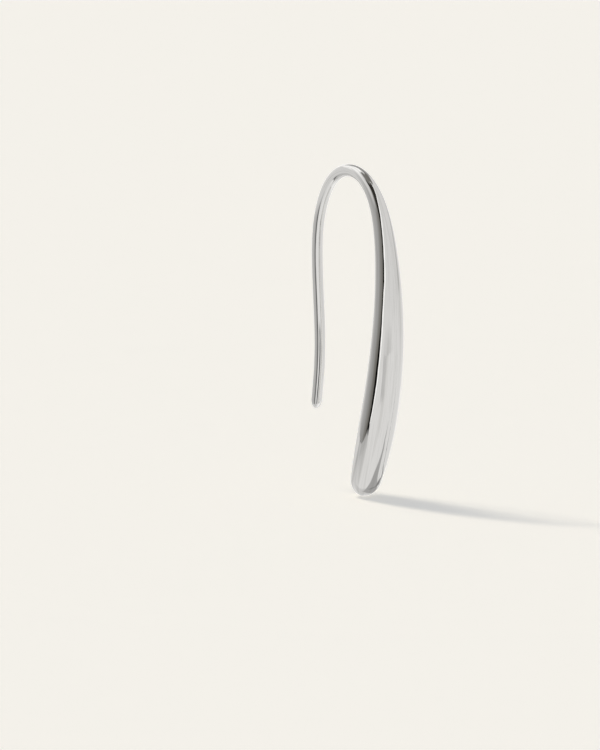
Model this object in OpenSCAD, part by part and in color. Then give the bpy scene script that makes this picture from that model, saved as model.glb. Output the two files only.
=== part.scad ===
// Threader earring: one polished silver piece. A plain round ear wire rises over an arch,
// widens without a joint into a long solid drop, and the drop ends in a rounded tip.
//
// The hook lies in the plane X = 0. The front of the drop faces -Y, +Z is up, and the origin
// is the seat: the highest point on the inside of the arch, where the earring hangs in the ear.

/* [Hook] */
// Height of the front of the hook, from the tip of the drop up to the arch
front_h = 29.2; // [26:0.1:34]
// Height of the back of the hook, from the end of the wire up to the arch
back_h = 22.1; // [17:0.1:25]
// Spread of the hook from front to back, between the middles of the drop and the wire
spread = 10.5; // [8.5:0.1:13]

/* [Drop] */
// Greatest width of the drop, seen from the front
drop_w = 3.6; // [2.6:0.1:5]
// Greatest depth of the drop, seen from the side
drop_t = 2.7; // [2:0.1:3.6]
// Length of the rounding at the tip of the drop
drop_tip = 1.6; // [1.2:0.1:3]
// Fullness of the drop's section: 2 is an ellipse, more is nearer to a rounded box
fullness = 2.4; // [2:0.05:3]

/* [Wire] */
// Diameter of the ear wire
wire_d = 1.0; // [0.8:0.05:1.3]
// Length of the rounding at the end of the wire
wire_tip = 0.85; // [0.5:0.05:1.2]

/* [Mesh] */
// Sides of each section
sides = 28; // [16:4:40]
// Sections in one step of the path
steps = 9; // [5:1:12]
// Sections in the rounding at each end
tip_steps = 7; // [4:1:10]

/* [Hidden] */

// The path's guide points, from the tip of the drop over the arch to the end of the wire.
// forward: share of spread. height: share of front_h, or of back_h behind the arch.
// wide, deep: how much of the step from the wire to the full drop the section has gained.
//   forward  height   wide   deep
drop_guide = [
    [ 0.144, -1.000,  0.62,  0.71],
    [ 0.290, -0.850,  1.02,  0.90],
    [ 0.400, -0.707,  1.00,  0.97],
    [ 0.480, -0.555,  0.97,  0.68],
    [ 0.511, -0.395,  0.77,  0.50],
    [ 0.488, -0.234,  0.54,  0.26],
    [ 0.382, -0.060,  0.24,  0.13],
    [ 0.077,  0.036,  0.04,  0.07],
];
wire_guide = [
    [-0.290,  0.004,  0.02,  0.03],
    [-0.488, -0.183,  0.00,  0.00],
    [-0.500, -0.384,  0.00,  0.00],
    [-0.465, -0.584,  0.00,  0.00],
    [-0.445, -0.785,  0.00,  0.00],
    [-0.511, -1.000,  0.00,  0.00],
];

// A guide point in millimetres: forward, up, half width, half depth, squareness
function guide(row, h) = [
    row[0] * spread,
    row[1] * h,
    (wire_d + row[2] * (drop_w - wire_d)) / 2,
    (wire_d + row[3] * (drop_t - wire_d)) / 2,
    2 + row[3] * (fullness - 2)
];
guides = concat(
    [for (row = drop_guide) guide(row, front_h)],
    [for (row = wire_guide) guide(row, back_h)]
);

// One more point past each end makes the smooth curve start and stop on the end points
last = len(guides) - 1;
path = concat(
    [2 * guides[0] - guides[1]],
    guides,
    [2 * guides[last] - guides[last - 1]]
);

// Cubic B-spline through the guide points: its place and its slope at u in step i
function spline(i, u) =
    [pow(1 - u, 3), 3 * pow(u, 3) - 6 * u * u + 4, -3 * pow(u, 3) + 3 * u * u + 3 * u + 1, pow(u, 3)]
    * [for (k = [0:3]) path[i + k]] / 6;
function slope(i, u) =
    [-pow(1 - u, 2), 3 * u * u - 4 * u, -3 * u * u + 2 * u + 1, u * u]
    * [for (k = [0:3]) path[i + k]] / 2;
function step_of(t) = min(floor(t), last - 1);
function place(t) = spline(step_of(t), t - step_of(t));
function heading(t) =
    let (d = slope(step_of(t), t - step_of(t)))
    [d[0], d[1]] / norm([d[0], d[1]]);

// The rounding at each end, as a share of the first and the last step
function length_of(a, b) = norm([b[0] - a[0], b[1] - a[1]]);
drop_end = drop_tip / length_of(guides[0], guides[1]);
wire_end = wire_tip / length_of(guides[last], guides[last - 1]);
function end_round(t, share) = t >= share ? 1 : sqrt(1 - pow(1 - t / share, 2));
function rounding(t) = end_round(t, drop_end) * end_round(last - t, wire_end);

// Where the sections stand along the path: closer and closer together towards both ends
body_steps = last * steps;
stations = concat(
    [for (k = [1:tip_steps]) drop_end * (1 - cos(90 * k / tip_steps))],
    [for (k = [1:body_steps - 1]) drop_end + (last - drop_end - wire_end) * k / body_steps],
    [for (k = [tip_steps:-1:1]) last - wire_end * (1 - cos(90 * k / tip_steps))]
);

// The seat is the highest point on the inner edge of the arch
function inner_edge(t) =
    let (p = place(t), d = heading(t))
    [p[0] - d[1] * p[3], p[1] + d[0] * p[3]];
inner = [for (t = stations) inner_edge(t)];
seat_height = max([for (p = inner) p[1]]);
seat = [for (p = inner) if (p[1] == seat_height) p][0];

// A point of the hook's plane, off to one side by x, measured from the seat
function from_seat(forward, up, x) = [x, seat[0] - forward, up - seat[1]];

// One side of a fuller or rounder oval: the cosine or sine of an angle, made squarer
function oval(c, squareness) = sign(c) * pow(abs(c), 2 / squareness);

function section(t) =
    let (p = place(t), d = heading(t), r = rounding(t))
    [for (k = [0:sides - 1])
        let (
            a = 360 * k / sides,
            out = r * p[3] * oval(sin(a), p[4]),
            x = r * p[2] * oval(cos(a), p[4])
        )
        from_seat(p[0] + d[1] * out, p[1] - d[0] * out, x)
    ];

function end_point(t) = let (p = place(t)) from_seat(p[0], p[1], 0);

// The whole silver piece, as one skin over its sections with a point at each end
module hook_drop() {
    rings = len(stations);
    points = concat(
        [end_point(0)],
        [for (t = stations) each section(t)],
        [end_point(last)]
    );
    far_point = rings * sides + 1;
    function at(i, k) = 1 + i * sides + k % sides;
    faces = concat(
        [for (k = [0:sides - 1]) [0, at(0, k), at(0, k + 1)]],
        [for (i = [0:rings - 2], k = [0:sides - 1]) each [
            [at(i, k), at(i + 1, k), at(i + 1, k + 1)],
            [at(i, k), at(i + 1, k + 1), at(i, k + 1)]
        ]],
        [for (k = [0:sides - 1]) [far_point, at(rings - 1, k + 1), at(rings - 1, k)]]
    );
    color("gainsboro") polyhedron(points, faces);
}

hook_drop();
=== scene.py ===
# A threader earring in polished silver, standing on the tip of its drop on a pale studio floor.
# One piece: a round ear wire that rises over an arch and swells into a long, rounded drop.
import math

import bpy
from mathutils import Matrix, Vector


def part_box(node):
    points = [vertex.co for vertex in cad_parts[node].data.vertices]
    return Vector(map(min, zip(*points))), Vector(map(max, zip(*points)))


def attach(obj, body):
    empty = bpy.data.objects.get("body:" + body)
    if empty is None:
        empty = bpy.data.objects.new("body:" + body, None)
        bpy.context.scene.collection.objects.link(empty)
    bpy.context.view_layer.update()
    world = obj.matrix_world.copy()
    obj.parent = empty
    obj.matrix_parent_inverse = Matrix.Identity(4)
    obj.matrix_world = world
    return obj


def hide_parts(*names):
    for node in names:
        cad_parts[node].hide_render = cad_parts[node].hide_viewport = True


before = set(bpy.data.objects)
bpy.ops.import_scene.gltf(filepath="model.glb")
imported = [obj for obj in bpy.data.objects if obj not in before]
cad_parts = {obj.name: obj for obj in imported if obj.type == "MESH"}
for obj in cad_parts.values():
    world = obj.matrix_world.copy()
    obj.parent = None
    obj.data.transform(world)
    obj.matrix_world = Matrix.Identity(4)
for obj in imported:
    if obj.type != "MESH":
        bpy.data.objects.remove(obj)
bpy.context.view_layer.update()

MM = 0.001


# Small helpers

def linear(hex_colour):
    """An sRGB hex colour, such as "f4f1ea", as linear red, green, blue and alpha."""
    levels = [int(hex_colour[i:i + 2], 16) / 255 for i in (0, 2, 4)]
    return [v / 12.92 if v <= 0.04045 else ((v + 0.055) / 1.055) ** 2.4 for v in levels] + [1.0]


def add(tree, kind, inputs=(), **settings):
    """Adds a node. inputs gives its sockets in order or by name: a value, another node's output,
    or another node, which stands for its first output."""
    node = tree.nodes.new(kind)
    for name, value in settings.items():
        setattr(node, name, value)
    for name, value in inputs.items() if isinstance(inputs, dict) else enumerate(inputs):
        if isinstance(value, bpy.types.Node):
            value = value.outputs[0]
        if isinstance(value, bpy.types.NodeSocket):
            tree.links.new(value, node.inputs[name])
        else:
            node.inputs[name].default_value = value
    return node


def new_material(name):
    """A material with no nodes yet."""
    material = bpy.data.materials.new(name)
    material.use_nodes = True
    material.node_tree.nodes.clear()
    return material


def put_in_scene(name, data):
    """An object for this mesh, light or camera, at the origin."""
    thing = bpy.data.objects.new(name, data)
    bpy.context.scene.collection.objects.link(thing)
    return thing


# Float curve nodes, each with the points it is to run through
curves = []


# The hook's sizes in millimetres, the same as in the CAD source

FRONT_H = 29.2
BACK_H = 22.1
SPREAD = 10.5
DROP_W = 3.6
DROP_T = 2.7
DROP_TIP = 1.6
FULLNESS = 2.4
WIRE_D = 1.0
WIRE_TIP = 0.85

# Guide points of the path, from the tip of the drop over the arch to the end of the wire:
# how far forward and how high, as shares of the spread and of the front's or back's height,
# and how far the section has grown from the wire's to the drop's full width and depth
DROP_GUIDE = [
    (0.144, -1.000, 0.62, 0.71),
    (0.290, -0.850, 1.02, 0.90),
    (0.400, -0.707, 1.00, 0.97),
    (0.480, -0.555, 0.97, 0.68),
    (0.511, -0.395, 0.77, 0.50),
    (0.488, -0.234, 0.54, 0.26),
    (0.382, -0.060, 0.24, 0.13),
    (0.077, 0.036, 0.04, 0.07),
]
WIRE_GUIDE = [
    (-0.290, 0.004, 0.02, 0.03),
    (-0.488, -0.183, 0.00, 0.00),
    (-0.500, -0.384, 0.00, 0.00),
    (-0.465, -0.584, 0.00, 0.00),
    (-0.445, -0.785, 0.00, 0.00),
    (-0.511, -1.000, 0.00, 0.00),
]

# The mesh: rings along the hook, crowded together towards its two rounded ends, from 0 to 1
RINGS = 600
SIDES = 96
CROWDING = 0.97

# A cubic B-spline's four weights, as the factors of u cubed, u squared, u and one, over six
SPLINE_WEIGHTS = [(-1, 3, -3, 1), (3, -6, 0, 4), (-3, 3, 3, 1), (1, 0, 0, 0)]
# About how much of the path lies between two guide points, in millimetres
STEP_MM = 4.4
# Points closer than this are one, in metres: along the seam and at both ends
SEAM = 1e-7


def guide_mesh():
    """The guide points as a mesh: place holds forward, height and front or back, swell the growth."""
    rows = [row + (1.0,) for row in DROP_GUIDE] + [row + (0.0,) for row in WIRE_GUIDE]
    # One more point past each end makes the smooth curve start and stop on the end points
    first = [2 * a - b for a, b in zip(rows[0], rows[1])]
    last = [2 * a - b for a, b in zip(rows[-1], rows[-2])]
    rows = [first] + rows + [last]
    mesh = bpy.data.meshes.new("hook_guide")
    mesh.from_pydata([(row[0], row[1], row[4]) for row in rows], [], [])
    mesh.attributes.new("swell", "FLOAT_VECTOR", "POINT")
    for value, row in zip(mesh.attributes["swell"].data, rows):
        value.vector = (row[2], row[3], 0)
    return mesh


def sweep_tree():
    """A skin round a smooth path through the guide points, whose section changes on the way."""
    tree = bpy.data.node_groups.new("swept_hook", "GeometryNodeTree")
    face = tree.interface
    face.new_socket("Guide", in_out="INPUT", socket_type="NodeSocketGeometry")
    for size in ("Front height", "Back height", "Spread", "Drop width", "Drop depth", "Drop tip",
                 "Fullness", "Wire thickness", "Wire tip", "Crowding"):
        face.new_socket(size, in_out="INPUT", socket_type="NodeSocketFloat")
    face.new_socket("Rings", in_out="INPUT", socket_type="NodeSocketInt")
    face.new_socket("Sides", in_out="INPUT", socket_type="NodeSocketInt")
    face.new_socket("Finish", in_out="INPUT", socket_type="NodeSocketMaterial")
    face.new_socket("Skin", in_out="OUTPUT", socket_type="NodeSocketGeometry")
    given = add(tree, "NodeGroupInput").outputs

    # At each guide point: its place, and its section as half width, half depth and squareness
    shares = add(tree, "ShaderNodeSeparateXYZ", [add(tree, "GeometryNodeInputPosition")]).outputs
    growth = add(tree, "GeometryNodeInputNamedAttribute", {"Name": "swell"}, data_type="FLOAT_VECTOR")
    growth = add(tree, "ShaderNodeSeparateXYZ", [growth]).outputs
    height = add(tree, "ShaderNodeMapRange", {
        "Value": shares["Z"], "To Min": given["Back height"], "To Max": given["Front height"],
    })
    guide_place = add(tree, "ShaderNodeCombineXYZ", {
        "Y": add(tree, "ShaderNodeMath", [
            add(tree, "ShaderNodeMath", [shares["X"], given["Spread"]], operation="MULTIPLY"), -1.0,
        ], operation="MULTIPLY"),
        "Z": add(tree, "ShaderNodeMath", [shares["Y"], height], operation="MULTIPLY"),
    })
    grown = []
    for share, thin, thick in ((growth["X"], given["Wire thickness"], given["Drop width"]),
                               (growth["Y"], given["Wire thickness"], given["Drop depth"]),
                               (growth["Y"], 2.0, given["Fullness"])):
        grown.append(add(tree, "ShaderNodeMapRange", {
            "Value": share, "To Min": thin, "To Max": thick,
        }, clamp=False))
    guide_section = add(tree, "ShaderNodeVectorMath", [
        add(tree, "ShaderNodeCombineXYZ", grown), (0.5, 0.5, 1.0),
    ], operation="MULTIPLY")

    # Each point of a flat grid knows its ring and its side
    grid = add(tree, "GeometryNodeMeshGrid", {"Vertices X": given["Rings"], "Vertices Y": given["Sides"]})
    index = add(tree, "GeometryNodeInputIndex")
    ring = add(tree, "ShaderNodeMath", [
        add(tree, "ShaderNodeMath", [
            add(tree, "ShaderNodeMath", [index, 0.5], operation="ADD"), given["Sides"],
        ], operation="DIVIDE"),
    ], operation="FLOOR")
    side = add(tree, "ShaderNodeMath", [index, given["Sides"]], operation="FLOORED_MODULO")
    last_side = add(tree, "ShaderNodeMath", [given["Sides"], 1.0], operation="SUBTRACT")
    turn = add(tree, "ShaderNodeMapRange", {"Value": side, "From Max": last_side, "To Max": math.tau})
    last_ring = add(tree, "ShaderNodeMath", [given["Rings"], 1.0], operation="SUBTRACT")
    even = add(tree, "ShaderNodeMapRange", {"Value": ring, "From Max": last_ring, "To Max": math.tau})
    sway = add(tree, "ShaderNodeMath", [
        add(tree, "ShaderNodeMath", [even], operation="SINE"), given["Crowding"],
    ], operation="MULTIPLY")
    points = add(tree, "GeometryNodeAttributeDomainSize", {"Geometry": given["Guide"]}, component="MESH")
    steps = add(tree, "ShaderNodeMath", [points.outputs["Point Count"], 3.0], operation="SUBTRACT")
    along = add(tree, "ShaderNodeMapRange", {
        "Value": add(tree, "ShaderNodeMath", [even, sway], operation="SUBTRACT"),
        "From Max": math.tau, "To Max": steps,
    })

    # The path's place, slope and section at this ring, from the four guide points about it
    last_step = add(tree, "ShaderNodeMath", [steps, 1.0], operation="SUBTRACT")
    step = add(tree, "ShaderNodeMath", [
        add(tree, "ShaderNodeMath", [along], operation="FLOOR"), last_step,
    ], operation="MINIMUM")
    u = add(tree, "ShaderNodeMath", [along, step], operation="SUBTRACT")
    place = section = slope = (0, 0, 0)
    for number, (a, b, c, d) in enumerate(SPLINE_WEIGHTS):
        near = add(tree, "ShaderNodeMath", [step, number], operation="ADD")
        weight, rise = a / 6, a / 2
        for factor in (b / 6, c / 6, d / 6):
            weight = add(tree, "ShaderNodeMath", [u, weight, factor], operation="MULTIPLY_ADD")
        for factor in (b / 3, c / 6):
            rise = add(tree, "ShaderNodeMath", [u, rise, factor], operation="MULTIPLY_ADD")
        sums = []
        for field, share, so_far in ((guide_place, weight, place), (guide_section, weight, section),
                                     (guide_place, rise, slope)):
            found = add(tree, "GeometryNodeSampleIndex", {
                "Geometry": given["Guide"], "Value": field, "Index": near,
            }, data_type="FLOAT_VECTOR")
            part = add(tree, "ShaderNodeVectorMath", {0: found, "Scale": share}, operation="SCALE")
            sums.append(add(tree, "ShaderNodeVectorMath", [so_far, part], operation="ADD"))
        place, section, slope = sums

    # Both ends close in a quarter of an oval as long as the tip: past tells how far into it
    round_off = 1.0
    from_end = add(tree, "ShaderNodeMath", [steps, along], operation="SUBTRACT")
    for distance, tip, inner, outer in ((along, given["Drop tip"], 2, 1),
                                        (from_end, given["Wire tip"], steps, last_step)):
        ends = []
        for point in (inner, outer):
            ends.append(add(tree, "GeometryNodeSampleIndex", {
                "Geometry": given["Guide"], "Value": guide_place, "Index": point,
            }, data_type="FLOAT_VECTOR"))
        apart = add(tree, "ShaderNodeVectorMath", ends, operation="DISTANCE").outputs["Value"]
        past = add(tree, "ShaderNodeMapRange", {
            "Value": add(tree, "ShaderNodeMath", [distance, apart], operation="MULTIPLY"),
            "From Max": tip, "To Min": 1.0, "To Max": 0.0,
        })
        squared = add(tree, "ShaderNodeMath", [past, past], operation="MULTIPLY")
        left = add(tree, "ShaderNodeMath", [1.0, squared], operation="SUBTRACT")
        closing = add(tree, "ShaderNodeMath", [left], operation="SQRT")
        round_off = add(tree, "ShaderNodeMath", [round_off, closing], operation="MULTIPLY")

    # The section: an oval made squarer by raising its cosine and sine to a power
    squareness = add(tree, "ShaderNodeSeparateXYZ", [section]).outputs["Z"]
    power = add(tree, "ShaderNodeMath", [2.0, squareness], operation="DIVIDE")
    circle = add(tree, "ShaderNodeCombineXYZ", [
        add(tree, "ShaderNodeMath", [turn], operation="COSINE"),
        add(tree, "ShaderNodeMath", [turn], operation="SINE"),
    ])
    oval = add(tree, "ShaderNodeVectorMath", [
        add(tree, "ShaderNodeVectorMath", [circle], operation="SIGN"),
        add(tree, "ShaderNodeVectorMath", [
            add(tree, "ShaderNodeVectorMath", [circle], operation="ABSOLUTE"),
            add(tree, "ShaderNodeCombineXYZ", [power, power, 1.0]),
        ], operation="POWER"),
    ], operation="MULTIPLY")
    reach = add(tree, "ShaderNodeVectorMath", {
        0: add(tree, "ShaderNodeVectorMath", [oval, section], operation="MULTIPLY"), "Scale": round_off,
    }, operation="SCALE")
    reach = add(tree, "ShaderNodeSeparateXYZ", [reach]).outputs
    outward = add(tree, "ShaderNodeVectorMath", [
        add(tree, "ShaderNodeVectorMath", [(1, 0, 0), slope], operation="CROSS_PRODUCT"),
    ], operation="NORMALIZE")
    skin = add(tree, "ShaderNodeVectorMath", [
        add(tree, "ShaderNodeVectorMath", {0: outward, "Scale": reach["Y"]}, operation="SCALE"),
        add(tree, "ShaderNodeCombineXYZ", {"X": reach["X"]}),
    ], operation="ADD")
    skin = add(tree, "ShaderNodeVectorMath", [skin, place], operation="ADD")

    # Where a point lies along and round the metal, in millimetres, for the polish
    lay = add(tree, "ShaderNodeCombineXYZ", [
        add(tree, "ShaderNodeMath", [along, STEP_MM], operation="MULTIPLY"),
        add(tree, "ShaderNodeMath", [turn, DROP_W / 2], operation="MULTIPLY"),
    ])
    laid = add(tree, "GeometryNodeStoreNamedAttribute", {
        "Geometry": grid, "Name": "lay_mm", "Value": lay,
    }, data_type="FLOAT_VECTOR", domain="POINT")
    shaped = add(tree, "GeometryNodeSetPosition", {"Geometry": laid, "Position": skin})
    closed = add(tree, "GeometryNodeMergeByDistance", {"Geometry": shaped, "Distance": SEAM})
    smooth = add(tree, "GeometryNodeSetShadeSmooth", [closed])
    real = add(tree, "GeometryNodeRealizeInstances", [smooth])
    finished = add(tree, "GeometryNodeSetMaterial", {"Geometry": real, "Material": given["Finish"]})
    add(tree, "NodeGroupOutput", [finished])
    return tree


def make_hook(finish):
    """The whole earring as one plain mesh, set where the CAD solid is."""
    guide = guide_mesh()
    maker = put_in_scene("hook_maker", guide)
    tree = sweep_tree()
    sweep = maker.modifiers.new("sweep", "NODES")
    sweep.node_group = tree
    wanted = {
        "Front height": FRONT_H * MM, "Back height": BACK_H * MM, "Spread": SPREAD * MM,
        "Drop width": DROP_W * MM, "Drop depth": DROP_T * MM, "Drop tip": DROP_TIP * MM,
        "Fullness": FULLNESS, "Wire thickness": WIRE_D * MM, "Wire tip": WIRE_TIP * MM,
        "Crowding": CROWDING, "Rings": RINGS, "Sides": SIDES + 1, "Finish": finish,
    }
    for item in tree.interface.items_tree:
        if item.name in wanted:
            sweep[item.identifier] = wanted[item.name]

    ready = maker.evaluated_get(bpy.context.evaluated_depsgraph_get())
    mesh = bpy.data.meshes.new_from_object(ready)
    mesh.name = "hook_drop_polished"
    bpy.data.objects.remove(maker)
    bpy.data.meshes.remove(guide)

    # The guide's own origin is a little off the seat, which is the origin of the CAD solid
    low = Vector([min(v.co[k] for v in mesh.vertices) for k in range(3)])
    shift = Vector(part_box("hook_drop")[0]) - low
    shift.x = 0
    for vertex in mesh.vertices:
        vertex.co += shift
    return put_in_scene("hook_drop_polished", mesh)


# Finishes

def polished_silver():
    """Rhodium-plated sterling silver, buffed along its length: a near mirror, a little darker than
    bare silver, with hair-fine buffing marks and a faint ripple in the reflections."""
    material = new_material("polished_silver")
    tree = material.node_tree
    lay = add(tree, "ShaderNodeAttribute", attribute_name="lay_mm").outputs["Vector"]
    # Buffing marks. Real ones are a hundredth of a millimetre wide, too fine to show, so these are
    # drawn a tenth of a millimetre wide and about three long
    stretched = add(tree, "ShaderNodeMapping", {"Vector": lay, "Scale": (0.12, 3.0, 1.0)})
    marks = add(tree, "ShaderNodeTexNoise", {
        "Vector": stretched, "Scale": 3.0, "Detail": 4.0, "Roughness": 0.6,
    })
    rough = add(tree, "ShaderNodeMapRange", {
        "Value": marks, "From Min": 0.3, "From Max": 0.7, "To Min": 0.03, "To Max": 0.075,
    })
    # Faint grey streaks where the wheel ran, over a centimetre long and half a millimetre wide
    drawn_out = add(tree, "ShaderNodeMapping", {"Vector": lay, "Scale": (0.05, 1.0, 1.0)})
    streaks = add(tree, "ShaderNodeTexNoise", {
        "Vector": drawn_out, "Scale": 1.6, "Detail": 3.0, "Roughness": 0.6,
    })
    grey = add(tree, "ShaderNodeMath", [
        add(tree, "ShaderNodeMapRange", {"Value": streaks, "From Min": 0.5, "From Max": 0.75}),
        add(tree, "ShaderNodeMapRange", {
            "Value": marks, "From Min": 0.5, "From Max": 0.8, "To Max": 0.5,
        }),
    ], operation="ADD", use_clamp=True)
    silver = add(tree, "ShaderNodeMix", {
        "Factor": grey, "A": linear("f3f2f0"), "B": linear("dfdedb"),
    }, data_type="RGBA")
    # The marks as a relief, over a ripple of a few millimetres left by hand polishing
    ripple = add(tree, "ShaderNodeTexNoise", {
        "Vector": add(tree, "ShaderNodeMapping", {"Vector": lay, "Scale": (0.3, 0.6, 1.0)}),
        "Scale": 1.0, "Detail": 3.0, "Roughness": 0.45,
    })
    wavy = add(tree, "ShaderNodeBump", {"Height": ripple, "Strength": 1.0, "Distance": 0.012 * MM})
    bump = add(tree, "ShaderNodeBump", {
        "Height": marks, "Strength": 0.04, "Distance": 0.02 * MM, "Normal": wavy,
    })
    shader = add(tree, "ShaderNodeBsdfPrincipled", {
        "Base Color": silver.outputs["Result"], "Metallic": 1.0, "Roughness": rough, "Normal": bump,
    })
    add(tree, "ShaderNodeOutputMaterial", {"Surface": shader})
    return material


PAPER = linear("f4f1ea")
# The table's share of the light on the paper, which keeps the shadow clean right under the foot
TABLE_GLOW = 0.35


def floor_paper():
    """Matt warm-white paper on a light table, which glows through it a little."""
    material = new_material("background_paper")
    tree = material.node_tree
    matt = add(tree, "ShaderNodeBsdfDiffuse", {"Color": PAPER, "Roughness": 0.0})
    glow = add(tree, "ShaderNodeEmission", {"Color": PAPER, "Strength": TABLE_GLOW})
    add(tree, "ShaderNodeOutputMaterial", {"Surface": add(tree, "ShaderNodeAddShader", [matt, glow])})
    return material


# The camera: at the photograph's angle, through a long lens

AZIMUTH = math.radians(-38.0)
ELEVATION = math.radians(9.7)
PIXELS_PER_MM = 11.0
IMAGE_W, IMAGE_H = 600, 750
# Where the middle of the earring's outline sits in the photograph
PHOTO_X, PHOTO_Y = 357.6, 330.2
CAMERA_AWAY = 1090 * MM
SENSOR = 36.0
# What the camera can see lies between these distances, in metres
CLIP_NEAR, CLIP_FAR = 0.05, 10

toward_camera = Vector((
    math.sin(AZIMUTH) * math.cos(ELEVATION),
    -math.cos(AZIMUTH) * math.cos(ELEVATION),
    math.sin(ELEVATION),
))
picture_right = Vector((math.cos(AZIMUTH), math.sin(AZIMUTH), 0))
picture_up = toward_camera.cross(picture_right)
level_toward = Vector((math.sin(AZIMUTH), -math.cos(AZIMUTH), 0))


def aim_camera(piece):
    """Sets the camera so that the piece's outline has the photograph's place and size."""
    across = [v.co.dot(picture_right) for v in piece.data.vertices]
    upward = [v.co.dot(picture_up) for v in piece.data.vertices]
    middle_x = (min(across) + max(across)) / 2
    middle_y = (min(upward) + max(upward)) / 2
    pixel = MM / PIXELS_PER_MM
    target = (picture_right * (middle_x + (IMAGE_W / 2 - PHOTO_X) * pixel)
              + picture_up * (middle_y - (IMAGE_H / 2 - PHOTO_Y) * pixel))
    long_lens = bpy.data.cameras.new("camera")
    long_lens.sensor_width = SENSOR
    long_lens.lens = SENSOR * CAMERA_AWAY / (IMAGE_H * pixel)
    long_lens.clip_start = CLIP_NEAR
    long_lens.clip_end = CLIP_FAR
    camera = put_in_scene("camera", long_lens)
    camera.location = target + toward_camera * CAMERA_AWAY
    camera.rotation_euler = toward_camera.to_track_quat("Z", "Y").to_euler()
    bpy.context.scene.camera = camera


# The floor, in metres from its middle to its sides
FLOOR_HALF = 1.5


def lay_floor(level):
    """A wide sheet of paper under the foot. The metal sees the tent and the cards in its place."""
    mesh = bpy.data.meshes.new("floor")
    mesh.from_pydata([(x * FLOOR_HALF, y * FLOOR_HALF, level)
                      for x, y in ((-1, -1), (1, -1), (1, 1), (-1, 1))], [], [(0, 1, 2, 3)])
    mesh.materials.append(floor_paper())
    floor = put_in_scene("floor", mesh)
    floor.visible_glossy = False
    return floor


# The room: plain light for the paper, and for the metal a pale tent with one dark slanting gap.
# Directions are in degrees: round is 0 towards the camera and positive to its right, height is up.
# A step gives where it starts and ends and, if they aren't 0 and 1, the values there.

# A step with soft shoulders
SOFT = {"interpolation_type": "SMOOTHSTEP"}

# How far round the gap's sharp edge stands at each height
GAP_EDGE = [(-90, -90), (-30, -44), (-27, -36), (-25, -27), (-23, -20.5), (-20, -11), (-11, 1), (-3, 5),
            (4, 20), (18, 26), (30, 31), (40, 36), (47, 43), (52, 53), (60, 69), (70, 85), (90, 105)]
# How wide the gap is black before it starts to lighten
GAP_WIDTH = [(-90, 16), (-27, 19), (-24, 23), (-19, 20), (-11, 12), (-3, 4), (4, 7), (18, 4), (30, 9),
             (40, 18), (50, 36), (60, 66), (70, 114), (90, 114)]
# The tent's brightness by the degrees to the left of the black, low down and high up
LOW_TONE = [(0, 0.0), (4, 0.02), (9, 0.14), (14, 0.195), (22, 0.22), (30, 0.24), (40, 0.29),
            (51, 0.345), (64, 0.39), (80, 0.415), (93, 0.455), (107, 0.53), (118, 0.62), (126, 0.71),
            (140, 0.88), (152, 0.98), (180, 1.05)]
HIGH_TONE = [(0, 0.03), (8, 0.09), (16, 0.2), (25, 0.42), (35, 0.57), (48, 0.66), (60, 0.68), (75, 0.74),
             (90, 0.88), (105, 0.96), (120, 1.0), (180, 1.0)]
LOW_TO_HIGH = (26.0, 48.0)
# Below the horizon these tones weaken, and further down the gap ends
SHADE_BELOW = (-15.0, -2.0, 0.76, 1.0)
GAP_FOOT = (-36.0, -33.0)
GAP_SOFT = (-2.0, 2.0)
# To the right of the gap: the tent, a little brighter low down, and a bright rim along the gap's edge
TENT_TONE = (-4.0, -12.0, 0.7, 0.735)
RIM = (-13.0, -8.0, 0.0, 0.4)
# One soft patch of the tent's front is slightly darker: its middle, its half size, and how much
PATCH_AT = (47, -19, 0)
PATCH_HALF = (25, 10, 1)
PATCH_DARKER = (0.6, 1.2, 0.09, 0.0)
# Behind on the right the metal sees the pale paper, which fades in towards the outline
PAPER_ROUND = (105.0, 175.0)
PAPER_HEIGHT = (20.0, 6.0)
PAPER_TONE = 0.97
# The tent's back: a thin grey seam low down on the right, which widens into a darker back higher up.
# Where its middle stands at each height, then its half width and its tone by height
BACK_AT = [(-90, 106), (-3, 106), (5, 115), (12, 132), (22, 172), (30, 178), (42, 173), (50, 160),
           (60, 130), (75, 122), (90, 122)]
BACK_HALF = (2.0, 30.0, 8.0, 29.0)
BACK_TONE = (8.0, 60.0, 0.53, 0.18)
BACK_SOFT = (-4.0, 4.0)
BACK_FOOT = (-5.0, -2.0)
# The dark opening in the top of the tent
OPENING = (71.0, 77.0)
OPENING_TONE = 0.2
# Dark parts of the room are a little warmer than pale ones
WARM_TONES = (0.0, 0.35)
DARK_TINT = (1, 0.94, 0.80, 1)
PALE_TINT = (1, 0.994, 0.985, 1)
# The key light's share of the light on the floor, and its colour: warm, against cooler light all round
KEY_LIGHT = 0.325
KEY_COLOUR = (1.08, 1.0, 0.86)


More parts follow.
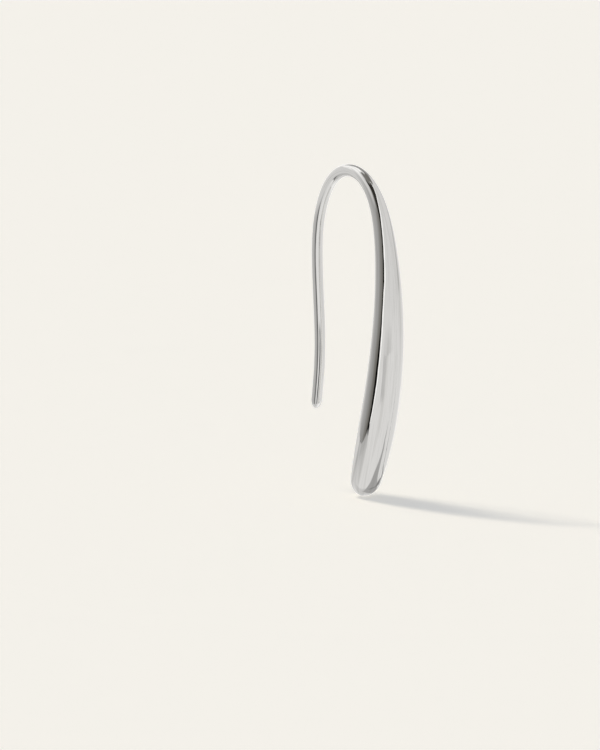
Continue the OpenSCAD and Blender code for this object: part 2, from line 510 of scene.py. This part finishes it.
def tent_tone(tree):
    """How bright the tent is in each direction, as the metal sees it."""
    turned = add(tree, "ShaderNodeMapping", {
        "Vector": add(tree, "ShaderNodeTexCoord").outputs["Generated"],
        "Rotation": (0, 0, math.pi / 2 - AZIMUTH),
    }, vector_type="POINT")
    axes = add(tree, "ShaderNodeSeparateXYZ", [turned]).outputs
    around = add(tree, "ShaderNodeMath", [
        add(tree, "ShaderNodeMath", [axes["Y"], axes["X"]], operation="ARCTAN2"),
    ], operation="DEGREES")
    height = add(tree, "ShaderNodeMath", [
        add(tree, "ShaderNodeMath", [axes["Z"]], operation="ARCSINE"),
    ], operation="DEGREES")

    # Float curves run from 0 to 1, so heights and turns are put in as shares of their range
    height_share = add(tree, "ShaderNodeMapRange", [height, -90.0, 90.0])
    turns = []
    for points in (GAP_EDGE, GAP_WIDTH, BACK_AT):
        node = add(tree, "ShaderNodeFloatCurve", {"Value": height_share})
        curves.append((node, [((high + 90) / 180, (way + 180) / 360) for high, way in points]))
        turns.append(add(tree, "ShaderNodeMapRange", [node, 0.0, 1.0, -180.0, 180.0]))
    edge, width, back_at = turns
    left_of_edge = add(tree, "ShaderNodeMath", [edge, around], operation="SUBTRACT")
    past_black = add(tree, "ShaderNodeMath", [left_of_edge, width], operation="SUBTRACT")
    past_share = add(tree, "ShaderNodeMapRange", [past_black, 0.0, 180.0])
    tones = []
    for points in (LOW_TONE, HIGH_TONE):
        node = add(tree, "ShaderNodeFloatCurve", {"Value": past_share})
        curves.append((node, [(way / 180, level / 2) for way, level in points]))
        tones.append(add(tree, "ShaderNodeMath", [node, 2.0], operation="MULTIPLY"))

    # To the left of the gap's edge
    left_tone = add(tree, "ShaderNodeMath", [
        add(tree, "ShaderNodeMix", {
            "Factor": add(tree, "ShaderNodeMapRange", [height, *LOW_TO_HIGH], **SOFT),
            "A": tones[0], "B": tones[1],
        }),
        add(tree, "ShaderNodeMapRange", [height, *SHADE_BELOW]),
    ], operation="MULTIPLY")
    # To the right of it, with the rim and the patch
    above_foot = add(tree, "ShaderNodeMapRange", [height, *GAP_FOOT], **SOFT)
    rim = add(tree, "ShaderNodeMath", [
        add(tree, "ShaderNodeMapRange", [left_of_edge, *RIM], **SOFT), above_foot,
    ], operation="MULTIPLY")
    right_tone = add(tree, "ShaderNodeMath", [
        rim, add(tree, "ShaderNodeMapRange", [height, *TENT_TONE]),
    ], operation="ADD")
    off_patch = add(tree, "ShaderNodeVectorMath", [
        add(tree, "ShaderNodeVectorMath", [
            add(tree, "ShaderNodeVectorMath", [
                add(tree, "ShaderNodeCombineXYZ", [around, height]), PATCH_AT,
            ], operation="SUBTRACT"), PATCH_HALF,
        ], operation="DIVIDE"),
    ], operation="LENGTH").outputs["Value"]
    right_tone = add(tree, "ShaderNodeMath", [
        right_tone, add(tree, "ShaderNodeMapRange", [off_patch, *PATCH_DARKER], **SOFT),
    ], operation="SUBTRACT")
    is_left = add(tree, "ShaderNodeMath", [
        add(tree, "ShaderNodeMapRange", [left_of_edge, *GAP_SOFT], **SOFT), above_foot,
    ], operation="MULTIPLY")
    tone = add(tree, "ShaderNodeMix", {"Factor": is_left, "A": right_tone, "B": left_tone})

    paper_behind = add(tree, "ShaderNodeMath", [
        add(tree, "ShaderNodeMapRange", [around, *PAPER_ROUND], **SOFT),
        add(tree, "ShaderNodeMapRange", [height, *PAPER_HEIGHT], **SOFT),
    ], operation="MULTIPLY")
    tone = add(tree, "ShaderNodeMix", {"Factor": paper_behind, "A": tone, "B": PAPER_TONE})
    off_back = add(tree, "ShaderNodeMath", [
        add(tree, "ShaderNodeMath", [
            add(tree, "ShaderNodeMath", [around, back_at], operation="SUBTRACT"), 180.0, -180.0,
        ], operation="WRAP"),
    ], operation="ABSOLUTE")
    back_half = add(tree, "ShaderNodeMapRange", [height, *BACK_HALF])
    back = add(tree, "ShaderNodeMath", [
        add(tree, "ShaderNodeMapRange", [
            add(tree, "ShaderNodeMath", [back_half, off_back], operation="SUBTRACT"), *BACK_SOFT,
        ], **SOFT),
        add(tree, "ShaderNodeMapRange", [height, *BACK_FOOT], **SOFT),
    ], operation="MULTIPLY")
    back_tone = add(tree, "ShaderNodeMapRange", [height, *BACK_TONE])
    tone = add(tree, "ShaderNodeMix", {"Factor": back, "A": tone, "B": back_tone})
    opening = add(tree, "ShaderNodeMapRange", [height, *OPENING], **SOFT)
    return add(tree, "ShaderNodeMix", {"Factor": opening, "A": tone, "B": OPENING_TONE})


def put_up_room():
    """The world: the paper's colour for the camera, the tent for the metal, plain light for the rest."""
    world = bpy.data.worlds.new("studio")
    bpy.context.scene.world = world
    world.use_nodes = True
    tree = world.node_tree
    tree.nodes.clear()
    tone = tent_tone(tree)
    tint = add(tree, "ShaderNodeMix", {
        "Factor": add(tree, "ShaderNodeMapRange", [tone, *WARM_TONES]), "A": DARK_TINT, "B": PALE_TINT,
    }, data_type="RGBA")
    plain = add(tree, "ShaderNodeBackground", {
        "Color": [1 - TABLE_GLOW - KEY_LIGHT * part for part in KEY_COLOUR] + [1.0], "Strength": 1.0,
    })
    seen = add(tree, "ShaderNodeBackground", {"Color": PAPER, "Strength": 1.0})
    tent = add(tree, "ShaderNodeBackground", {"Color": tint.outputs["Result"], "Strength": tone})
    ray = add(tree, "ShaderNodeLightPath").outputs
    mirrored = add(tree, "ShaderNodeMixShader", [ray["Is Glossy Ray"], plain, tent])
    both = add(tree, "ShaderNodeMixShader", [ray["Is Camera Ray"], mirrored, seen])
    add(tree, "ShaderNodeOutputWorld", {"Surface": both})


def glowing_card(name, card_tone):
    """A card that gives off its own light. card_tone adds the nodes for its brightness."""
    material = new_material(name)
    tree = material.node_tree
    glow = add(tree, "ShaderNodeEmission", {"Color": PALE_TINT, "Strength": card_tone(tree)})
    add(tree, "ShaderNodeOutputMaterial", {"Surface": glow})
    return material


# A pale card under the foot that only the metal sees, cut straight on the side towards the gap. It glows,
# and its tones are painted: they stand for the lit floor and its shadows as the metal mirrors them.
# Millimetres from the foot: x to the picture's right, y towards the camera.

CARD_CUT = 16.0
CARD_DEEP = 40.0
CARD_HALF = 50.0
CARD_LIFT = 0.02
CARD_TONE = 0.75
# On the left the card is greyer, past an edge that slants outwards from a bend towards the camera
LEFT_EDGE = (-1.7, -2.9)
LEFT_BEND = 9.5
LEFT_SLANT = 0.7
# A dark strip runs there along the near side and the cut, nearly black at its far corner
STRIP_NEAR = 12.2
STRIP_CUT = 15.3
STRIP_SOFT = (-0.4, 0.4)
STRIP_TONE = (13.2, 13.8, 0.22, 0.02)
# Inside the strip the grey is paler close to the foot, and one tone behind it
GREY_TONE = (13.0, 4.0, 0.5, 0.69)
GREY_BEHIND = (-2.5, -5.5)
GREY_BEHIND_TONE = 0.72
# A soft grey band of painted shade lies right under the tip
TIP_SHADE_Y = 1.05
TIP_SHADE_SOFT = (0.75, 0.35)
TIP_SHADE_END = (0.8, 0.2)
TIP_SHADE_TONE = 0.62
# Behind the foot the card is palest, past a border that falls away on both sides. It ends far behind
# the foot, but not on the right
PALE_LEFT = (0.0, -10.0, 0.5, -12.5)
PALE_SLOPE = (-0.8, 0.5)
PALE_RIGHT = (0.2, 1.0, 0.5, -1.4)
PALE_SOFT = (0.4, -0.4)
PALE_END = (-12.0, -8.0)
PALE_ON_RIGHT = (4.0, 7.0)
PALE_TONE = 0.92
# Far out towards the camera's right, so many degrees round, lies one soft grey patch
FAR_PATCH_AT = 38.0
FAR_PATCH_SOFT = (12.0, 6.0)
FAR_PATCH_FROM = (18.0, 25.0)
FAR_PATCH_TONE = 0.56
# A dark wedge of painted shadow on the card: its middle and its half width along x
PAINTED_SHADOW_MIDDLE = [(-5, 1.1), (0, 1.15), (0.5, 1.05), (1, 0.85), (1.5, 0.75), (2, 0.85), (3, 1.22),
                (4, 1.48), (5, 1.6), (6, 1.7), (7.6, 1.9), (9.1, 2.3), (10, 2.6), (11, 2.73),
                (13, 3.25), (15, 3.5)]
PAINTED_SHADOW_HALF = [(-5, 0.0), (-0.2, 0.0), (0.5, 0.5), (1, 0.95), (1.5, 1.2), (2, 1.1), (3, 0.82),
              (4, 0.57), (5, 0.45), (6, 0.35), (7.6, 0.3), (9.1, 0.25), (10, 0.2), (12, 0.15),
              (13.5, 0.05), (15, 0.0)]
PAINTED_SHADOW_SOFT = (-0.12, 0.12)
PAINTED_SHADOW_TONE = 0.39
# A thin dark line beside the painted shadow: how far towards the camera it lies along x, and where it is
# wider
LINE_AT = [(-5, 6.0), (0, 2.6), (0.9, 1.15), (1.6, 0.75), (2.9, -0.15), (3.7, -0.8), (4.4, -1.8),
           (5, -1.9), (5.8, -1.1), (7, -0.7), (8.5, -0.4), (12, 0.0), (15, 0.3)]
LINE_WIDEST = 4.2
LINE_WIDER = (2.2, 1.2, 0.0, 0.4)
LINE_SOFT = (0.2, 0.08)
LINE_START = (0.6, 1.2)
LINE_TONE = 0.27


def painted_floor_tone(tree):
    """The card's painted brightness from place to place, with a painted shadow and painted shade."""
    spot = add(tree, "ShaderNodeVectorMath", [
        add(tree, "ShaderNodeTexCoord").outputs["Object"], (1 / MM, -1 / MM, 0),
    ], operation="MULTIPLY")
    x, y = add(tree, "ShaderNodeSeparateXYZ", [spot]).outputs[:2]
    distance = add(tree, "ShaderNodeVectorMath", [
        add(tree, "ShaderNodeCombineXYZ", [x, y]),
    ], operation="LENGTH").outputs["Value"]

    # The greyer left with its dark strip
    bent_x = add(tree, "ShaderNodeMath", [
        add(tree, "ShaderNodeMath", [
            add(tree, "ShaderNodeMath", [y, LEFT_BEND], operation="SUBTRACT"), 0.0,
        ], operation="MAXIMUM"), LEFT_SLANT, x,
    ], operation="MULTIPLY_ADD")
    inside_strip = add(tree, "ShaderNodeMath", [
        add(tree, "ShaderNodeMath", [STRIP_NEAR, y], operation="SUBTRACT"),
        add(tree, "ShaderNodeMath", [
            add(tree, "ShaderNodeMath", [x, y], operation="SUBTRACT"), 1 / math.sqrt(2), STRIP_CUT,
        ], operation="MULTIPLY_ADD"),
    ], operation="MINIMUM")
    left_tone = add(tree, "ShaderNodeMix", {
        "Factor": add(tree, "ShaderNodeMapRange", [inside_strip, *STRIP_SOFT], **SOFT),
        "A": add(tree, "ShaderNodeMapRange", [y, *STRIP_TONE]),
        "B": add(tree, "ShaderNodeMapRange", [distance, *GREY_TONE]),
    })
    left_tone = add(tree, "ShaderNodeMix", {
        "Factor": add(tree, "ShaderNodeMapRange", [y, *GREY_BEHIND], **SOFT),
        "A": left_tone, "B": GREY_BEHIND_TONE,
    })
    leftness = add(tree, "ShaderNodeMapRange", [bent_x, *LEFT_EDGE], **SOFT)
    tone = add(tree, "ShaderNodeMix", {"Factor": leftness, "A": CARD_TONE, "B": left_tone})

    # The painted shade right under the tip
    off_tip_shade = add(tree, "ShaderNodeMath", [
        add(tree, "ShaderNodeMath", [y, TIP_SHADE_Y], operation="SUBTRACT"),
    ], operation="ABSOLUTE")
    tip_shade = add(tree, "ShaderNodeMath", [
        add(tree, "ShaderNodeMapRange", [off_tip_shade, *TIP_SHADE_SOFT], **SOFT),
        add(tree, "ShaderNodeMapRange", [x, *TIP_SHADE_END], **SOFT),
    ], operation="MULTIPLY")
    tone = add(tree, "ShaderNodeMix", {"Factor": tip_shade, "A": tone, "B": TIP_SHADE_TONE})

    # The palest part behind the foot
    pale_from = add(tree, "ShaderNodeMath", [x, *PALE_SLOPE], operation="MULTIPLY_ADD")
    for side in (PALE_LEFT, PALE_RIGHT):
        pale_from = add(tree, "ShaderNodeMath", [
            pale_from, add(tree, "ShaderNodeMapRange", [x, *side]),
        ], operation="MINIMUM")
    behind_foot = add(tree, "ShaderNodeMath", [
        add(tree, "ShaderNodeMapRange", [
            add(tree, "ShaderNodeMath", [y, pale_from], operation="SUBTRACT"), *PALE_SOFT,
        ], **SOFT),
        add(tree, "ShaderNodeMath", [
            add(tree, "ShaderNodeMapRange", [y, *PALE_END], **SOFT),
            add(tree, "ShaderNodeMapRange", [x, *PALE_ON_RIGHT]),
        ], operation="MAXIMUM"),
    ], operation="MULTIPLY")
    tone = add(tree, "ShaderNodeMix", {"Factor": behind_foot, "A": tone, "B": PALE_TONE})

    # The grey patch far out
    off_patch = add(tree, "ShaderNodeMath", [
        add(tree, "ShaderNodeMath", [
            add(tree, "ShaderNodeMath", [
                add(tree, "ShaderNodeMath", [x, y], operation="ARCTAN2"),
            ], operation="DEGREES"), FAR_PATCH_AT,
        ], operation="SUBTRACT"),
    ], operation="ABSOLUTE")
    patch = add(tree, "ShaderNodeMath", [
        add(tree, "ShaderNodeMapRange", [off_patch, *FAR_PATCH_SOFT], **SOFT),
        add(tree, "ShaderNodeMapRange", [distance, *FAR_PATCH_FROM], **SOFT),
    ], operation="MULTIPLY")
    tone = add(tree, "ShaderNodeMix", {"Factor": patch, "A": tone, "B": FAR_PATCH_TONE})

    # The painted shadow and the line, by float curves that cover x from -5 to 15 and y from -6 to 6
    x_share = add(tree, "ShaderNodeMapRange", [x, -5.0, 15.0])
    found = []
    for points in (PAINTED_SHADOW_MIDDLE, PAINTED_SHADOW_HALF, LINE_AT):
        node = add(tree, "ShaderNodeFloatCurve", {"Value": x_share})
        curves.append((node, [((x_mm + 5) / 20, (y_mm + 6) / 12) for x_mm, y_mm in points]))
        found.append(add(tree, "ShaderNodeMath", [node, 12.0, -6.0], operation="MULTIPLY_ADD"))
    shadow_middle, shadow_half, line_at = found
    off_shadow = add(tree, "ShaderNodeMath", [
        add(tree, "ShaderNodeMath", [y, shadow_middle], operation="SUBTRACT"),
    ], operation="ABSOLUTE")
    painted_shadow = add(tree, "ShaderNodeMapRange", [
        add(tree, "ShaderNodeMath", [shadow_half, off_shadow], operation="SUBTRACT"), *PAINTED_SHADOW_SOFT,
    ], **SOFT)
    tone = add(tree, "ShaderNodeMix", {"Factor": painted_shadow, "A": tone, "B": PAINTED_SHADOW_TONE})
    off_line = add(tree, "ShaderNodeMath", [
        add(tree, "ShaderNodeMath", [y, line_at], operation="SUBTRACT"),
    ], operation="ABSOLUTE")
    off_widest = add(tree, "ShaderNodeMath", [
        add(tree, "ShaderNodeMath", [x, LINE_WIDEST], operation="SUBTRACT"),
    ], operation="ABSOLUTE")
    off_line = add(tree, "ShaderNodeMath", [
        off_line, add(tree, "ShaderNodeMapRange", [off_widest, *LINE_WIDER]),
    ], operation="SUBTRACT")
    line = add(tree, "ShaderNodeMath", [
        add(tree, "ShaderNodeMapRange", [off_line, *LINE_SOFT], **SOFT),
        add(tree, "ShaderNodeMapRange", [x, *LINE_START]),
    ], operation="MULTIPLY")
    return add(tree, "ShaderNodeMix", {"Factor": line, "A": tone, "B": LINE_TONE})


def lay_painted_floor_card(foot):
    """The card, flat on the floor and square to the camera, its cut slanting across the left."""
    corners = []
    for along, inward in ((-CARD_HALF, -CARD_CUT), (CARD_HALF, -CARD_CUT), (CARD_HALF, CARD_DEEP),
                          (-CARD_HALF, CARD_DEEP)):
        corners.append(Vector((inward + along, inward - along, 0)) * MM / math.sqrt(2))
    mesh = bpy.data.meshes.new("painted_floor_card")
    mesh.from_pydata(corners, [], [(0, 1, 2, 3)])
    mesh.materials.append(glowing_card("painted_floor_card", painted_floor_tone))
    card = put_in_scene("painted_floor_card", mesh)
    card.location = foot + Vector((0, 0, CARD_LIFT * MM))
    card.rotation_euler = (0, 0, AZIMUTH)
    return card


# A narrow curved card that follows the wire and the back of the arch, seen only by the metal. It glows,
# and its painted tones make the thin wire mirror pale paper with two thin dark lines. Its path is in
# millimetres from the seat, as back and up, and its turns run round the wire: 0 is towards the camera,
# positive to its right.

FILL_PATH = [(0.8, 0.5), (1.9, 0.1), (2.8, -0.7), (3.6, -1.8), (4.5, -4.0), (4.95, -8.0), (4.75, -12.0),
             (4.55, -16.0), (4.85, -20.0), (5.4, -24.0)]
FILL_RADIUS = 3.0
FILL_FROM, FILL_TO = -150, 26
FILL_STEP = 6
# Its tone on the inside by the turn, with the first line, and on the outside
FILL_TONE = [(-150, 0.64), (-130, 0.56), (-115, 0.55), (-95, 0.52), (-75, 0.48), (-60, 0.4),
             (-48, 0.22), (-42, 0.11), (-36, 0.16), (-29, 0.6), (-22, 0.82), (-10, 0.8), (4, 0.78),
             (16, 0.76), (26, 0.72)]
FILL_OUTSIDE = 0.75
# The second line, lower down: its turn, how soft it is, and the heights where it fades in
SECOND_AT = 2.0
SECOND_SOFT = (13.0, 6.0)
SECOND_FROM = (-13.8, -15.4)
SECOND_TONE = 0.1
# Round the arch the card has no lines. It is palest over the top, and a little paler on the far left
ARCH_TONE = (1.9, 2.7, 0.67, 1.02)
ARCH_LEFT_TONE = (-110.0, -130.0, 0.67, 0.78)
LINES_FROM = (-3.2, -5.2)


def fill_tone(tree):
    """The fill card's brightness round the wire and down it."""
    turn = add(tree, "ShaderNodeAttribute", attribute_name="turn").outputs["Fac"]
    lined = add(tree, "ShaderNodeFloatCurve", {
        "Value": add(tree, "ShaderNodeMapRange", [turn, FILL_FROM, FILL_TO]),
    })
    span = FILL_TO - FILL_FROM
    curves.append((lined, [((way - FILL_FROM) / span, level) for way, level in FILL_TONE]))
    up = add(tree, "ShaderNodeVectorMath", {
        0: add(tree, "ShaderNodeTexCoord").outputs["Object"], "Scale": 1 / MM,
    }, operation="SCALE")
    up = add(tree, "ShaderNodeSeparateXYZ", [up]).outputs["Z"]
    off_second = add(tree, "ShaderNodeMath", [
        add(tree, "ShaderNodeMath", [turn, SECOND_AT], operation="SUBTRACT"),
    ], operation="ABSOLUTE")
    second = add(tree, "ShaderNodeMath", [
        add(tree, "ShaderNodeMapRange", [off_second, *SECOND_SOFT], **SOFT),
        add(tree, "ShaderNodeMapRange", [up, *SECOND_FROM], **SOFT),
    ], operation="MULTIPLY")
    lined = add(tree, "ShaderNodeMix", {"Factor": second, "A": lined, "B": SECOND_TONE})
    over_arch = add(tree, "ShaderNodeMath", [
        add(tree, "ShaderNodeMapRange", [up, *ARCH_TONE], **SOFT),
        add(tree, "ShaderNodeMapRange", [turn, *ARCH_LEFT_TONE]),
    ], operation="MAXIMUM")
    inside_tone = add(tree, "ShaderNodeMix", {
        "Factor": add(tree, "ShaderNodeMapRange", [up, *LINES_FROM], **SOFT), "A": over_arch, "B": lined,
    })
    outside = add(tree, "ShaderNodeNewGeometry").outputs["Backfacing"]
    return add(tree, "ShaderNodeMix", {"Factor": outside, "A": inside_tone, "B": FILL_OUTSIDE})


def bend_fill_card():
    """The card bent round the wire, with each point's turn kept for its tone."""
    turns = list(range(FILL_FROM, FILL_TO + 1, FILL_STEP))
    points = []
    for number, (back_mm, up_mm) in enumerate(FILL_PATH):
        before = FILL_PATH[max(number - 1, 0)]
        after = FILL_PATH[min(number + 1, len(FILL_PATH) - 1)]
        outward = Vector((0, before[1] - after[1], after[0] - before[0])).normalized()
        for degrees in turns:
            radians = math.radians(degrees)
            way = picture_right * math.sin(radians) + level_toward * math.cos(radians)
            reach = Vector((way.x, 0, 0)) + outward * way.y
            points.append((Vector((0, back_mm, up_mm)) + reach * FILL_RADIUS) * MM)
    across = len(turns)
    faces = [(i * across + k, i * across + k + 1, (i + 1) * across + k + 1, (i + 1) * across + k)
             for i in range(len(FILL_PATH) - 1) for k in range(across - 1)]
    mesh = bpy.data.meshes.new("fill_card")
    mesh.from_pydata(points, [], faces)
    mesh.attributes.new("turn", "FLOAT", "POINT")
    for number, point in enumerate(mesh.attributes["turn"].data):
        point.value = turns[number % across]
    mesh.materials.append(glowing_card("fill_card", fill_tone))
    return put_in_scene("fill_card", mesh)


def set_curves():
    """Runs each float curve through its points, once all their nodes are there."""
    for node, points in curves:
        line = node.mapping.curves[0]
        line.points[0].location = points[0]
        line.points[1].location = points[-1]
        for x, y in points[1:-1]:
            line.points.new(x, y)
        node.mapping.update()


# Key light: a tall, narrow soft box behind the earring on its left, as a row of suns, so that the shadow
# has crisp sides and fades along its length. For each: the way its light runs over the floor, in degrees
# from the picture's right towards the camera, how high it stands, its share of the light, and how wide it
# looks in degrees, wider at the top so that the thin wire's own shadow melts away.

KEY_SUNS = [(35.5, 48, 0.28, 3.5), (40, 52, 0.16, 3.5), (41, 55, 0.12, 3.5), (42.5, 60, 0.11, 3.5),
            (43.5, 64, 0.12, 4), (44.5, 68, 0.12, 9), (45, 76, 0.09, 14)]


def put_up_key():
    """The key light's suns, which the metal doesn't mirror."""
    for way, high, share, wide in KEY_SUNS:
        way = math.radians(way)
        high = math.radians(high)
        sun = bpy.data.lights.new("key", "SUN")
        sun.angle = math.radians(wide)
        sun.color = KEY_COLOUR
        sun.energy = math.pi * KEY_LIGHT * share / math.sin(high)
        level_way = picture_right * math.cos(way) + level_toward * math.sin(way)
        toward_sun = Vector((0, 0, math.sin(high))) - level_way * math.cos(high)
        key = put_in_scene("key", sun)
        key.rotation_euler = toward_sun.to_track_quat("Z", "Y").to_euler()
        key.visible_glossy = False
        key.visible_camera = False


# Everything put together

hook = make_hook(polished_silver())
aim_camera(hook)
foot = min(hook.data.vertices, key=lambda v: v.co.z).co.copy()
foot.x = 0

floor = lay_floor(foot.z)
put_up_room()
for card in (lay_painted_floor_card(foot), bend_fill_card()):
    card.visible_camera = False
    card.visible_diffuse = False
    card.visible_shadow = False
set_curves()
put_up_key()
bpy.context.scene.view_settings.view_transform = "Standard"

# The earring is one solid with no joint, so it rides on the only body
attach(hook, "root")
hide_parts("hook_drop")
